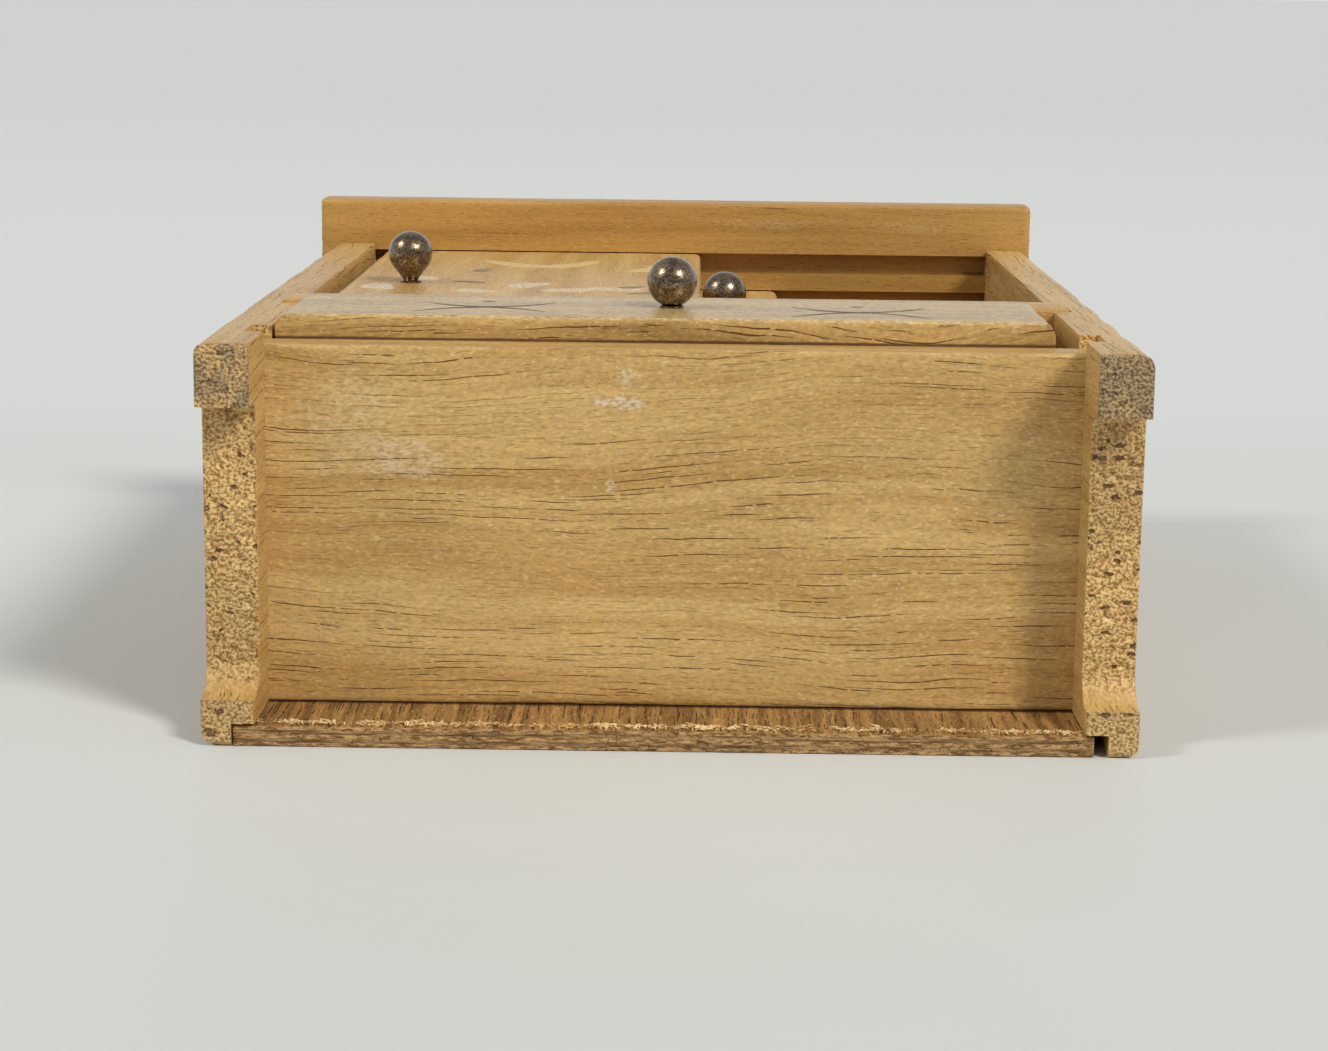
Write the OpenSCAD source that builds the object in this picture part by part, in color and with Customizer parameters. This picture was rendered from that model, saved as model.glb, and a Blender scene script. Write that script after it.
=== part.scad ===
// Small wooden puzzle cabinet lying on its back: two sliding doors, one drawer
// and a hidden drop peg that locks the drawer.
// X runs across the cabinet, Y from the feet to the top board, Z out of the front.

/* [Cabinet] */
// Width over the two sides
cabinet_w = 112; // [106:1:120]
// Height of the sides, from the feet to the top board
side_h = 132; // [124:1:140]
// Depth of the sides, from the back to their front edges
side_d = 48.5; // [47:0.5:54]
// Thickness of the sides
side_t = 6.5; // [6:0.1:7.5]
// Rounding of the sides' outer edges
side_round = 1.4; // [0.8:0.1:2]
// Depth of the joints that hold the boards in the sides
house_d = 2.4; // [2:0.1:3]

/* [Feet] */
// Height of the arch between the feet
arch_h = 5.2; // [4.8:0.1:7]
// Length of the front foot along the side
front_foot = 7.6; // [6:0.1:9]
// Length of the back foot along the side
back_foot = 5.7; // [5:0.1:8]
// Rounding at the front end of the arch
arch_front_r = 1.6; // [1:0.1:2.5]
// Rounding at the back end of the arch
arch_back_r = 4.2; // [2:0.1:4.4]

/* [Boards] */
// Thickness of the top board
top_t = 7; // [6.5:0.1:9]
// Overhang of the top board at the left
top_left = 2.3; // [0.5:0.1:4]
// Overhang of the top board at the right
top_right = 0.6; // [0.5:0.1:4]
// Overhang of the top board in front
top_front = 7.1; // [5:0.1:9]
// Height of the bottom board's underside above the feet
bottom_y = 12.3; // [10:0.1:13]
// Thickness of the bottom board
bottom_t = 6.2; // [5.5:0.1:6.5]
// How far the bottom board's front edge stands back
bottom_back = 1.6; // [1:0.1:2.5]
// Height of the shelf's underside above the feet
shelf_y = 43.7; // [42:0.1:50]
// Thickness of the shelf
shelf_t = 6.5; // [6:0.1:7]
// How far the shelf's front edge stands out
shelf_out = 0.6; // [0:0.1:1]

/* [Back panel] */
// Thickness of the plywood panel
panel_t = 2.6; // [2.4:0.1:3]
// Gap beside the panel in the right side's rebate
panel_gap = 1.6; // [0.4:0.1:1.8]
// Width of the rebate that holds the panel
rebate_w = 2.8; // [2.6:0.1:3.2]

/* [Doors] */
// Width of each door
door_w = 51.2; // [50:0.2:52]
// Thickness of each door
door_t = 2.9; // [2.6:0.1:3]
// Width of the grooves that the doors slide in
groove_w = 3.2; // [3.1:0.1:3.4]
// How far the front groove lies behind the sides' front edges
groove_lip = 1; // [0.8:0.1:1.5]
// Wood left between the two grooves
groove_land = 2.7; // [2.4:0.1:3]
// Depth of the grooves in the top board
top_groove = 3; // [2.5:0.1:3.5]
// Depth of the grooves in the shelf
shelf_groove = 2; // [1.5:0.1:2.2]
// Gap between the left door and the left side
left_door_gap = 1.6; // [0.5:0.1:2]
// How far the right door stands open
right_door_open = 33.7; // [20:0.1:33.7]
// Distance from a door's outer edge to its knob
knob_inset = 9.1; // [8.5:0.1:9.1]

/* [Drawer] */
// Width of the drawer front
drawer_w = 96; // [90:0.5:96]
// Gap at the left of the drawer front
drawer_gap = 0.25; // [0.2:0.05:1]
// How far the drawer front stands out
drawer_out = 1.4; // [1:0.1:2]
// Thickness of the drawer front
drawer_front_t = 6; // [5.5:0.1:6.5]
// Thickness of the drawer's sides and back
drawer_wall = 3; // [2.6:0.1:3.2]
// Thickness of the drawer's bottom
drawer_floor = 2; // [1.8:0.1:2.4]

/* [Knobs and peg] */
// Diameter of the knobs' balls
ball_d = 6.35; // [6:0.05:6.5]
// Height of the door knobs above the feet
knob_y = 82.6; // [70:0.2:110]
// Height of the left door knob's ball centre above the wood
left_knob_h = 4.2; // [4:0.1:5]
// Height of the right door knob's ball centre above the wood
right_knob_h = 4.8; // [4:0.1:5]
// Height of the drawer knob's ball centre above the wood
drawer_knob_h = 3.25; // [3.25:0.05:4.5]
// Diameter of the lock peg
peg_d = 3; // [2.6:0.1:3.4]
// How far the lock peg drops
peg_drop = 4; // [3.4:0.1:4.4]
// Distance of the lock peg from the cabinet's middle
peg_x = 32; // [28:1:40]

/* [Hidden] */

$fn = 48;
eps = 1; // how far a cut runs past the wood
half_in = cabinet_w / 2 - side_t; // the sides' inner faces
front_z = side_d; // the sides' front edges
rebate_d = panel_t + 0.2;
panel_y = [0.3, side_h - 0.1];
house_x = half_in + house_d;

// the wood of the doors and of the grooves, from front to back
front_groove = [front_z - groove_lip - groove_w, front_z - groove_lip];
rear_groove = [front_groove[0] - groove_land - groove_w, front_groove[0] - groove_land];
door_play = (groove_w - door_t) / 2;
door_foot = 0.2; // play under a door in its groove
door_y = [shelf_y + shelf_t - shelf_groove + door_foot, side_h + top_groove - 0.5];
door_round = 1.1;
left_door_x = -half_in + left_door_gap;
right_door_x = half_in - door_w - right_door_open;
left_knob_x = left_door_x + knob_inset;
right_knob_x = right_door_x + door_w - knob_inset;

// the drawer stands on the bottom board and runs under the shelf
run_gap = 0.4; // play above and below the drawer
drawer_x = [-half_in + drawer_gap, -half_in + drawer_gap + drawer_w];
drawer_y = [bottom_y + bottom_t + run_gap / 2, shelf_y - run_gap];
drawer_face = front_z + drawer_out;
drawer_z = [panel_t + 1.4, drawer_face - drawer_front_t];
box_x = drawer_x + [0.8, -0.8]; // the drawer box stands in from the front's ends
wall_y = [drawer_y[0] + drawer_floor, drawer_y[1] - 1.3];
drawer_knob_x = -0.5;
drawer_mid = (drawer_y[0] + drawer_y[1]) / 2;
drawer_round = 1.8;

// knobs: a ball on a tapered neck, pressed on a steel pin
ball_r = ball_d / 2;
neck_r = 1.25;
shoulder = 1.8; // how far below the ball's centre the taper meets it
pin_r = 0.75;
press = 0.02; // how much smaller a hole is than its pin
knob_bore = 3; // depth of the pin's hole in a knob
door_pin = 2.4; // depth of the pin in a door
drawer_pin = 4.5; // depth of the pin in the drawer front

// lock peg: drops through the shelf, just in front of the drawer's back
peg_r = peg_d / 2;
peg_play = 0.06;
peg_z = drawer_z[0] + drawer_wall + 0.6 + peg_r;
peg_tip = shelf_y + 0.2; // the lifted peg's lower end
peg_head_y = peg_tip + shelf_t - 0.2 + peg_drop;
peg_head_r = peg_r + 1.2;
peg_head_h = 2;

// brads: small steel pins with flat heads
brad_r = 0.4;
brad_tip = 1;
brad_head_r = 0.65;
brad_head_h = 0.3;
panel_brad_l = 8;
top_brad_l = 13;
wall_brad_l = 8;
panel_brads = [for (s = [-1, 1], i = [0:4]) [s * (half_in + 0.5), 8 + i * (side_h - 16) / 4, 0]];
top_brads = [for (s = [-1, 1], z = [9, side_d / 2, side_d - 8])
    [s * (cabinet_w - side_t) / 2, side_h + top_t, z]];
wall_brads = [for (y = [0.3, 0.7], z = [drawer_z[0] + drawer_wall / 2, drawer_z[1] + 2])
    [wall_y[0] + y * (wall_y[1] - wall_y[0]), z]];

// the frame's origin: middle of the cabinet's outline, on the surface it lies on
origin = [(top_left - top_right) / 2, -(side_h + top_t) / 2, 0];

// Moves a piece from the cabinet's own measures to the frame's origin
module placed() {
    translate(origin) children();
}

// A box given by its low and high ends along each axis
module block(x, y, z) {
    translate([x[0], y[0], z[0]]) cube([x[1] - x[0], y[1] - y[0], z[1] - z[0]]);
}

// A rectangle with round corners at one end or at both, as [low end, high end]
module soft_rect(w, h, r, ends) {
    low = ends[0] ? r : 0;
    high = ends[1] ? r : 0;
    translate([0, low]) square([w, h - low - high]);
    translate([r, 0]) square([w - 2 * r, h]);
    if (ends[0]) for (x = [r, w - r]) translate([x, r]) circle(r);
    if (ends[1]) for (x = [r, w - r]) translate([x, h - r]) circle(r);
}

// A board standing along Y, with its long edges rounded at low z, at high z or at both
module soft_board(x, y, z, r, ends = [true, true]) {
    translate([x[0], y[1], z[0]]) rotate([90, 0, 0])
        linear_extrude(y[1] - y[0]) soft_rect(x[1] - x[0], z[1] - z[0], r, ends);
}

// A straight groove for a door, in the face at height y
module door_groove(z, y, depth) {
    block([-half_in, half_in], [y - depth, y + depth], z);
}

// A brad with its head at the origin, pointing along -Z
module brad(length) {
    translate([0, 0, -length]) cylinder(h = brad_tip, r1 = 0.1, r2 = brad_r);
    translate([0, 0, brad_tip - length]) cylinder(h = length - brad_tip, r = brad_r);
    translate([0, 0, -brad_head_h]) cylinder(h = brad_head_h, r = brad_head_r);
}

// The hole that a brad leaves, with its mouth at the origin
module brad_hole(length) {
    translate([0, 0, -length]) cylinder(h = length + eps, r = brad_r - press);
    translate([0, 0, -brad_head_h]) cylinder(h = brad_head_h + eps, r = brad_head_r);
}

module at_panel_brads() {
    for (p = panel_brads) translate(p) rotate([180, 0, 0]) children();
}

module at_top_brads() {
    for (p = top_brads) translate(p) rotate([-90, 0, 0]) children();
}

// Both ends of each drawer wall; the heads lie in the walls' outer faces
module at_wall_brads() {
    for (p = wall_brads) {
        translate([box_x[0], p[0], p[1]]) rotate([0, -90, 0]) children();
        translate([box_x[1], p[0], p[1]]) rotate([0, 90, 0]) children();
    }
}

// A side with its inner face at x = 0 and its outer face at x = side_t
module side_board() {
    difference() {
        union() {
            soft_board([0, side_t], [0, side_h], [0, side_d], side_round);
            block([0, side_t / 2], [0, side_h], [0, side_d]);
        }
        arch();
        for (y = [[bottom_y, bottom_t], [shelf_y, shelf_t]])
            block([-eps, house_d], [y[0], y[0] + y[1]], [-eps, side_d + eps]);
        block([-eps, rebate_w], [-eps, side_h + eps], [-eps, rebate_d]);
    }
}

// The low arch between the two feet, cut along X
module arch() {
    front = side_d - front_foot;
    translate([-eps, 0, 0]) rotate([90, 0, 90]) linear_extrude(side_t + 2 * eps) {
        translate([-eps, back_foot]) square([arch_h - arch_back_r + eps, front - back_foot]);
        translate([-eps, back_foot + arch_back_r])
            square([arch_h + eps, front - back_foot - arch_back_r - arch_front_r]);
        translate([-eps, front - arch_front_r - eps])
            square([arch_h - arch_front_r + eps, arch_front_r + eps]);
        translate([arch_h - arch_back_r, back_foot + arch_back_r]) circle(arch_back_r);
        translate([arch_h - arch_front_r, front - arch_front_r]) circle(arch_front_r);
    }
}

module left_side() {
    color([0.72, 0.57, 0.34]) placed() difference() {
        translate([-half_in, 0, 0]) mirror([1, 0, 0]) side_board();
        at_panel_brads() brad_hole(panel_brad_l);
        at_top_brads() brad_hole(top_brad_l);
    }
}

module right_side() {
    color([0.72, 0.57, 0.34]) placed() difference() {
        translate([half_in, 0, 0]) side_board();
        at_panel_brads() brad_hole(panel_brad_l);
        at_top_brads() brad_hole(top_brad_l);
    }
}

module top_board() {
    color([0.69, 0.52, 0.25]) placed() difference() {
        soft_board([-cabinet_w / 2 - top_left, cabinet_w / 2 + top_right],
            [side_h, side_h + top_t], [0, side_d + top_front], 1);
        door_groove(front_groove, side_h, top_groove);
        door_groove(rear_groove, side_h, top_groove);
        at_top_brads() brad_hole(top_brad_l);
    }
}

module bottom_board() {
    color([0.72, 0.57, 0.33]) placed()
        block([-house_x, house_x], [bottom_y, bottom_y + bottom_t], [panel_t, front_z - bottom_back]);
}

module middle_shelf() {
    top = shelf_y + shelf_t;
    color([0.72, 0.57, 0.34]) placed() difference() {
        block([-house_x, house_x], [shelf_y, top], [panel_t, front_z + shelf_out]);
        door_groove(front_groove, top, shelf_groove);
        door_groove(rear_groove, top, shelf_groove);
        translate([peg_x, shelf_y - eps, peg_z]) rotate([-90, 0, 0])
            cylinder(h = shelf_t + 2 * eps, r = peg_r + peg_play);
    }
}

module back_panel() {
    color([0.55, 0.39, 0.23]) placed() difference() {
        block([0.1 - half_in - rebate_w, half_in + rebate_w - panel_gap], panel_y, [0, panel_t]);
        at_panel_brads() brad_hole(panel_brad_l);
    }
}

// A door with its knob hole; z is its groove
module door(x, groove, knob_x) {
    face = groove[1] - door_play;
    difference() {
        soft_board([x, x + door_w], door_y, [groove[0] + door_play, face], door_round);
        translate([knob_x, knob_y, face - door_pin]) cylinder(h = door_pin + eps, r = pin_r - press);
    }
}

module left_door() {
    color([0.75, 0.62, 0.40]) placed() door(left_door_x, front_groove, left_knob_x);
}

module right_door() {
    color([0.75, 0.62, 0.40]) placed() door(right_door_x, rear_groove, right_knob_x);
}

// A turned knob standing on z = 0, with the hole for its pin
module knob(h) {
    difference() {
        union() {
            translate([0, 0, h]) sphere(ball_r);
            cylinder(h = h, r = neck_r);
            translate([0, 0, h / 3]) cylinder(h = h * 2 / 3 - shoulder, r1 = neck_r,
                r2 = sqrt(ball_r * ball_r - shoulder * shoulder) - 0.02);
        }
        translate([0, 0, -eps]) cylinder(h = knob_bore + eps, r = pin_r - press);
    }
}

// A knob's pin, from the ball down to a point in the wood below z = 0
module knob_pin(depth) {
    translate([0, 0, -depth]) cylinder(h = 0.8, r1 = 0.15, r2 = pin_r);
    translate([0, 0, 0.8 - depth]) cylinder(h = depth + knob_bore - 0.8, r = pin_r);
}

module at_left_knob() {
    translate([left_knob_x, knob_y, front_groove[1] - door_play]) children();
}

module at_right_knob() {
    translate([right_knob_x, knob_y, rear_groove[1] - door_play]) children();
}

module at_drawer_knob() {
    translate([drawer_knob_x, drawer_mid, drawer_face]) children();
}

module left_door_knob() {
    color([0.35, 0.30, 0.24]) placed() at_left_knob() knob(left_knob_h);
}

module left_door_knob_pin() {
    color([0.45, 0.42, 0.38]) placed() at_left_knob() knob_pin(door_pin);
}

module right_door_knob() {
    color([0.35, 0.30, 0.24]) placed() at_right_knob() knob(right_knob_h);
}

module right_door_knob_pin() {
    color([0.45, 0.42, 0.38]) placed() at_right_knob() knob_pin(door_pin);
}

module drawer_front() {
    color([0.74, 0.60, 0.38]) placed() difference() {
        soft_board(drawer_x, drawer_y, [drawer_z[1], drawer_face], drawer_round, [false, true]);
        at_drawer_knob() translate([0, 0, -drawer_pin])
            cylinder(h = drawer_pin + eps, r = pin_r - press);
        drawer_rebates();
        at_wall_brads() brad_hole(wall_brad_l);
    }
}

// The walls' front ends sit in rebates behind the drawer front
module drawer_rebates() {
    for (x = [[drawer_x[0] - eps, box_x[0] + drawer_wall], [box_x[1] - drawer_wall, drawer_x[1] + eps]])
        block(x, wall_y, [drawer_z[1] - eps, drawer_z[1] + 3.5]);
}

// A drawer wall between the planes x[0] and x[1]
module drawer_side(x) {
    difference() {
        block(x, wall_y, [drawer_z[0], drawer_z[1] + 3.5]);
        at_wall_brads() brad_hole(wall_brad_l);
    }
}

module drawer_left_side() {
    color([0.70, 0.55, 0.33]) placed() drawer_side([box_x[0], box_x[0] + drawer_wall]);
}

module drawer_right_side() {
    color([0.70, 0.55, 0.33]) placed() drawer_side([box_x[1] - drawer_wall, box_x[1]]);
}

module drawer_back() {
    color([0.70, 0.55, 0.33]) placed() difference() {
        block(box_x + [drawer_wall, -drawer_wall], wall_y, [drawer_z[0], drawer_z[0] + drawer_wall]);
        at_wall_brads() brad_hole(wall_brad_l);
    }
}

module drawer_bottom() {
    color([0.62, 0.46, 0.28]) placed()
        block(box_x, [drawer_y[0], wall_y[0]], [drawer_z[0], drawer_z[1]]);
}

module drawer_knob() {
    color([0.35, 0.30, 0.24]) placed() at_drawer_knob() knob(drawer_knob_h);
}

module drawer_knob_pin() {
    color([0.45, 0.42, 0.38]) placed() at_drawer_knob() knob_pin(drawer_pin);
}

// The peg is lifted here, clear of the drawer; it drops towards the feet
module lock_peg() {
    color([0.66, 0.50, 0.30]) placed() translate([peg_x, peg_tip, peg_z]) rotate([-90, 0, 0]) {
        cylinder(h = peg_head_y - peg_tip, r = peg_r);
        translate([0, 0, peg_head_y - peg_tip]) cylinder(h = peg_head_h, r = peg_head_r);
    }
}

module back_panel_brads() {
    color([0.48, 0.46, 0.43]) placed() at_panel_brads() brad(panel_brad_l);
}

module top_board_brads() {
    color([0.48, 0.46, 0.43]) placed() at_top_brads() brad(top_brad_l);
}

module drawer_brads() {
    color([0.48, 0.46, 0.43]) placed() at_wall_brads() brad(wall_brad_l);
}

left_side();
right_side();
top_board();
bottom_board();
middle_shelf();
back_panel();
left_door();
left_door_knob();
left_door_knob_pin();
right_door();
right_door_knob();
right_door_knob_pin();
drawer_front();
drawer_left_side();
drawer_right_side();
drawer_back();
drawer_bottom();
drawer_knob();
drawer_knob_pin();
lock_peg();
back_panel_brads();
top_board_brads();
drawer_brads();
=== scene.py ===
# Wooden puzzle cabinet lying on its back: worn boards, two sliding doors, a drawer,
# tarnished ball knobs, a hidden lock peg and steel brads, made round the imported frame
import math

import bpy
import bmesh
import numpy as np
from mathutils import Euler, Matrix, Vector, noise


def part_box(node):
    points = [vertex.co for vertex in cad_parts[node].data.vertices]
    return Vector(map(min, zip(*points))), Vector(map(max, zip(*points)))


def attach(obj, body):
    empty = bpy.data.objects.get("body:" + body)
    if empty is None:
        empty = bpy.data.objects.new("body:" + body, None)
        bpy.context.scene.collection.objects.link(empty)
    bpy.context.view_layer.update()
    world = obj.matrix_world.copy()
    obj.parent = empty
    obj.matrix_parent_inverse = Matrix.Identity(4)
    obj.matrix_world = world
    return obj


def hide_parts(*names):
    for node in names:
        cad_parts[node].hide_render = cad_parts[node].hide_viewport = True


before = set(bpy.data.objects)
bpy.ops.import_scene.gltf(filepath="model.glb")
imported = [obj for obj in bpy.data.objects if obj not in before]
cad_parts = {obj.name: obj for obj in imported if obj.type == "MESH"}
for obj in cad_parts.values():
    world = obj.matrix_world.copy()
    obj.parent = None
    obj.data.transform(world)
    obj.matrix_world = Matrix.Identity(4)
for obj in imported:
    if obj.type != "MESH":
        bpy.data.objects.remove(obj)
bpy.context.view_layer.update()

mm = 0.001
print("frame loaded:", len(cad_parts), "nodes")


# Places, all in millimetres and in the frame's own axes
def boxOf(node):
    low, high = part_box(node)
    return np.array(low) / mm, np.array(high) / mm


leftLow, leftHigh = boxOf("left_side")
rightLow, rightHigh = boxOf("right_side")
floorLow, floorHigh = boxOf("bottom_board")
shelfLow, shelfHigh = boxOf("middle_shelf")
panelLow, panelHigh = boxOf("back_panel")
topLow = boxOf("top_board")[0]
faceLow, faceHigh = boxOf("drawer_front")
pegLow, pegHigh = boxOf("lock_peg")
doorBoxes = {name: boxOf(name) for name in ("left_door", "right_door")}
middleX = (leftLow[0] + rightHigh[0]) / 2
feetY = leftLow[1]


# Puts a mesh, a curve, a lamp or a camera in the scene
def addObject(name, data):
    thing = bpy.data.objects.new(name, data)
    bpy.context.scene.collection.objects.link(thing)
    return thing


# Node helpers. They all work in this tree: a material's, a geometry tree's or the world's
tree = None


# Fills a node's inputs with values, or with other nodes' outputs
def setInputs(node, inputs):
    for key, value in inputs.items():
        if isinstance(value, bpy.types.NodeSocket):
            tree.links.new(value, node.inputs[key])
        else:
            node.inputs[key].default_value = value


def addNode(kind, inputs=None, **options):
    node = tree.nodes.new(kind)
    for option, value in options.items():
        setattr(node, option, value)
    setInputs(node, inputs or {})
    return node


def calc(operation, *values):
    return addNode("ShaderNodeMath", dict(enumerate(values)), operation=operation).outputs[0]


def times(first, second):
    return calc("MULTIPLY", first, second)


def vectorCalc(operation, *values):
    node = addNode("ShaderNodeVectorMath", dict(enumerate(values)), operation=operation)
    return node.outputs["Value" if operation == "LENGTH" else "Vector"]


def inMillimetres(vector):
    return vectorCalc("MULTIPLY", vector, (1 / mm,) * 3)


def splitAxes(vector):
    return addNode("ShaderNodeSeparateXYZ", {0: vector}).outputs


def joinAxes(*parts):
    return addNode("ShaderNodeCombineXYZ", dict(enumerate(parts))).outputs[0]


# Moves a value up and down with a noise, which swings about 0.5
def swing(value, field, gain):
    return calc("MULTIPLY_ADD", calc("SUBTRACT", field, 0.5), gain, value)


# A soft step from low to high as the value goes from start to end
def fade(value, start, end, low=0.0, high=1.0):
    sockets = {"Value": value, "From Min": start, "From Max": end, "To Min": low, "To Max": high}
    return addNode("ShaderNodeMapRange", sockets, interpolation_type="SMOOTHSTEP").outputs[0]


def mixTone(factor, first, second, blend="MIX"):
    sockets = {0: factor, 6: first, 7: second}
    return addNode("ShaderNodeMix", sockets, data_type="RGBA", blend_type=blend).outputs[2]


def noiseField(place, stretch, detail=2.0, rough=0.5):
    sockets = {"Vector": vectorCalc("MULTIPLY", place, stretch), "Scale": 1.0,
               "Detail": detail, "Roughness": rough}
    return addNode("ShaderNodeTexNoise", sockets).outputs["Fac"]


# A colour given in the usual 0 to 255 steps
def tone(red, green, blue):
    steps = [c / 255 for c in (red, green, blue)]
    return (*[c / 12.92 if c <= 0.04045 else ((c + 0.055) / 1.055) ** 2.4 for c in steps], 1.0)


# An empty material, with its shader and its coordinates
def newMaterial(name):
    global tree
    material = bpy.data.materials.new(name)
    material.use_nodes = True
    tree = material.node_tree
    return material, tree.nodes["Principled BSDF"], addNode("ShaderNodeTexCoord").outputs


# The bumps that a height field makes on a surface
def bumps(height, strength, distance=mm):
    sockets = {"Height": height, "Distance": distance, "Strength": strength}
    return addNode("ShaderNodeBump", sockets).outputs[0]


# Turns a vector so that the grain's axis comes first
def grainFirst(vector, grain):
    order = {"x": (0, 1, 2), "y": (1, 2, 0), "z": (2, 0, 1)}[grain]
    parts = splitAxes(vector)
    return joinAxes(*[parts[k] for k in order])


# A push to the side of up to so many mm, that wanders along the board
def sidePush(place, stretch, reach):
    slow = vectorCalc("MULTIPLY", place, stretch)
    push = addNode("ShaderNodeTexNoise", {"Vector": slow, "Scale": 1.0, "Detail": 2.0})
    push = vectorCalc("SUBTRACT", push.outputs["Color"], (0.5, 0.5, 0.5))
    return vectorCalc("MULTIPLY", push, (0.0, reach, reach))


# Dark strokes along the grain, on whichever face they come through: length, spacing, width in mm
def dashField(place, normal, length, spacing, width, chance):
    scaled = vectorCalc("MULTIPLY", place, (0.5 / length, 1 / spacing, 1 / spacing))
    cell = addNode("ShaderNodeTexVoronoi", {"Vector": scaled, "Scale": 1.0})
    away = vectorCalc("SUBTRACT", scaled, cell.outputs["Position"])
    off = splitAxes(away)
    facing = splitAxes(normal)
    across = calc("SUBTRACT", times(off[1], facing[2]), times(off[2], facing[1]))
    across = calc("ABSOLUTE", times(across, 2 * spacing / width))
    luck = addNode("ShaderNodeSeparateColor", {0: cell.outputs["Color"]}).outputs
    along = calc("DIVIDE", off[0], fade(luck[0], 0.0, 1.0, 0.12, 0.45))
    reach = calc("MULTIPLY_ADD", along, along, across)
    keep = fade(luck[1], 1 - chance, 1.02 - chance)
    flat = calc("MAXIMUM", calc("ABSOLUTE", facing[1]), calc("ABSOLUTE", facing[2]))
    keep = times(keep, fade(flat, 0.86, 0.97))
    return times(fade(reach, 1.1, 0.4), keep)


# Every wood starts from these values
plainWood = {
    "grain": "x",  # the axis that the fibres run along
    "seed": 1.0,  # moves the pattern, so that no two boards match
    "dark": tone(184, 142, 76),
    "light": tone(205, 168, 103),
    "pore": tone(98, 54, 12),
    "fleck": tone(236, 210, 158),
    "endDark": tone(158, 110, 54),
    "endLight": tone(230, 194, 126),
    "wave": 5.0,  # how far the fibres wander, mm
    "quiver": 0.65,  # the same, over a short length
    "bandScale": 0.22,  # growth bands per mm
    "streaks": 0.20,
    "speckle": 0.40,
    "patches": 0.28,  # slow change of tone over the board
    "flecks": 0.42,
    "pores": (1.4, 0.60, 0.10, 0.45, 0.34),  # length, spacing, width, chance, strength
    "cracks": (13.0, 1.0, 0.15, 0.92, 0.95),
    "pits": 0.95,  # strength of the dark pits in the end grain
    "roughness": 0.48,
    "coat": 0.35,  # what is left of the old lacquer
    "bump": 1.0,
    "scuffsAndPaintedLight": [],  # rubbed scuffs, and patches of painted light: (centre, half sizes, strength), mm
    "scuffAndPaintedLightTone": tone(226, 216, 198),
    "dirtY": None,  # the end that stands on the ground and has gone grey
    "plies": None,  # (lowest height, ply thickness) of a plywood edge
    "contactShadeLines": [],  # painted contact shade, dark lines where boards meet: (axis, place, half width, strength)
}


# A patch in its own tone round a place on the board: pale rubbed scuffs, the pale painted sheen on the
# drawer's face and the painted shade of a nail hole
def scuffAndPaintedLightMask(place, grit, centre, size, strength):
    offset = vectorCalc("SUBTRACT", place, tuple(centre))
    away = vectorCalc("LENGTH", vectorCalc("DIVIDE", offset, size))
    ragged = noiseField(place, (0.45, 0.9, 0.9), 3.0, 0.6)
    solid = fade(swing(away, ragged, 2.2), 1.1, 0.5, 0.0, strength)
    return times(solid, fade(grit, 0.38, 0.60))


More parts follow.
